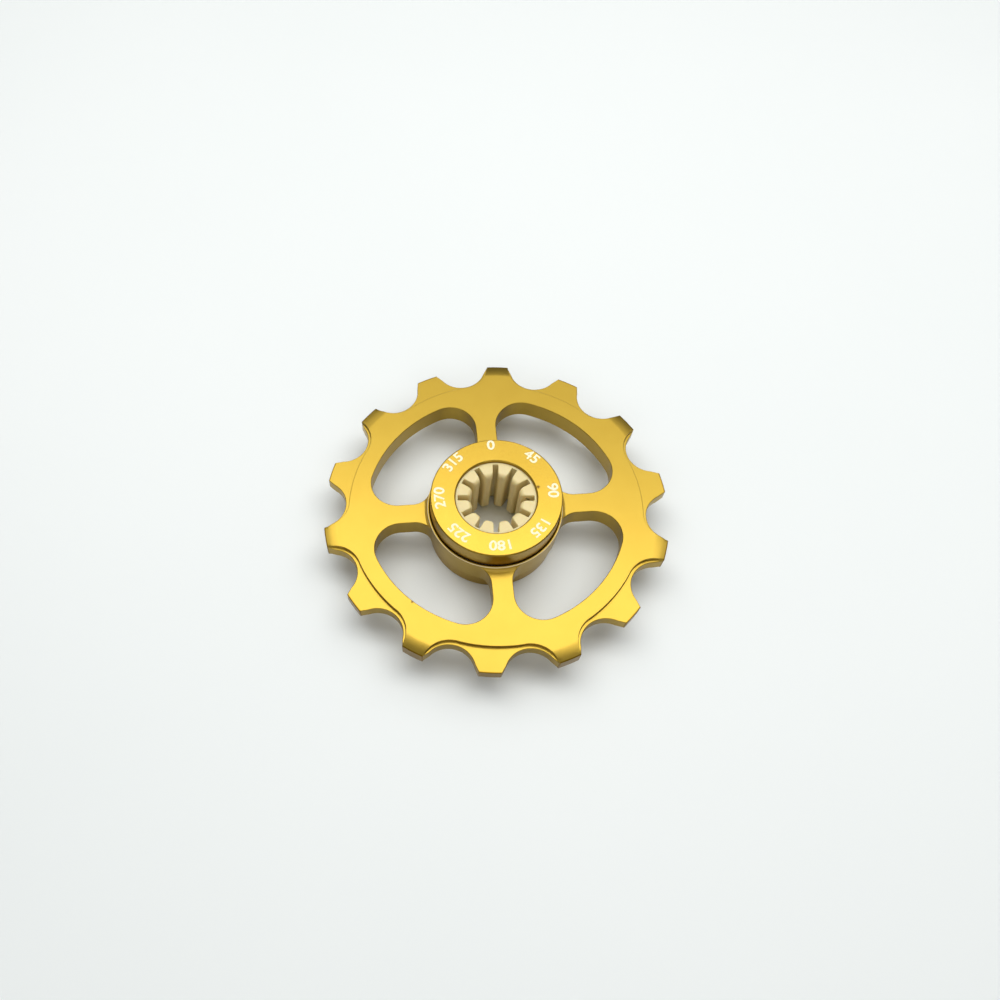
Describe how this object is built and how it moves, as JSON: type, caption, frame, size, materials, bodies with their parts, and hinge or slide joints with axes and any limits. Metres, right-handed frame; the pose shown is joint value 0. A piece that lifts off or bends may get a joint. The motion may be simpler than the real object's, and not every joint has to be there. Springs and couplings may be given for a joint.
{
  "type": "chain tensioner pulley",
  "caption": "Toothed idler pulley with wide and narrow teeth by turns, four open windows and a flanged hub on a thin ball bearing around a slotted sliding liner.",
  "frame": {"origin": "on the shaft's axis at the lower flange's end face", "axes": "+Z along the shaft's axis, out of the upper flange; +X along the middle of one spoke"},
  "size_m": [0.0566, 0.0566, 0.0116],
  "materials": {
    "gold_wheel": "gold anodised, satin",
    "gold_flange": "gold anodised, fine turned",
    "ivory_polymer": "moulded, matt",
    "bearing_steel": "ground",
    "ball_steel": "polished",
    "cage_polymer": "moulded, matt",
    "seal_rubber": "matt"
  },
  "bodies": {
    "core": {"upper_flange": "gold_flange", "lower_flange": "gold_flange", "slotted_liner": "ivory_polymer", "inner_race": "bearing_steel"},
    "wheel": {"pulley_wheel": "gold_wheel", "outer_race": "bearing_steel", "upper_seal": "seal_rubber", "lower_seal": "seal_rubber"},
    "ball_set": {"ball_cage": "cage_polymer", "ball_01": "ball_steel", "ball_02": "ball_steel", "ball_03": "ball_steel", "ball_04": "ball_steel", "ball_05": "ball_steel", "ball_06": "ball_steel", "ball_07": "ball_steel", "ball_08": "ball_steel", "ball_09": "ball_steel", "ball_10": "ball_steel", "ball_11": "ball_steel", "ball_12": "ball_steel", "ball_13": "ball_steel", "ball_14": "ball_steel", "ball_15": "ball_steel"}
  },
  "joints": [
    {"name": "wheel_spin", "type": "hinge", "parent": "core", "child": "wheel", "pos_m": [0, 0, 0.0058], "axis": [0, 0, 1], "continuous": true},
    {"name": "cage_spin", "type": "hinge", "parent": "core", "child": "ball_set", "pos_m": [0, 0, 0.0058], "axis": [0, 0, 1], "continuous": true}
  ],
  "couplings": [
    {"joint": "cage_spin", "follows": "wheel_spin", "ratio": 0.5441}
  ]
}
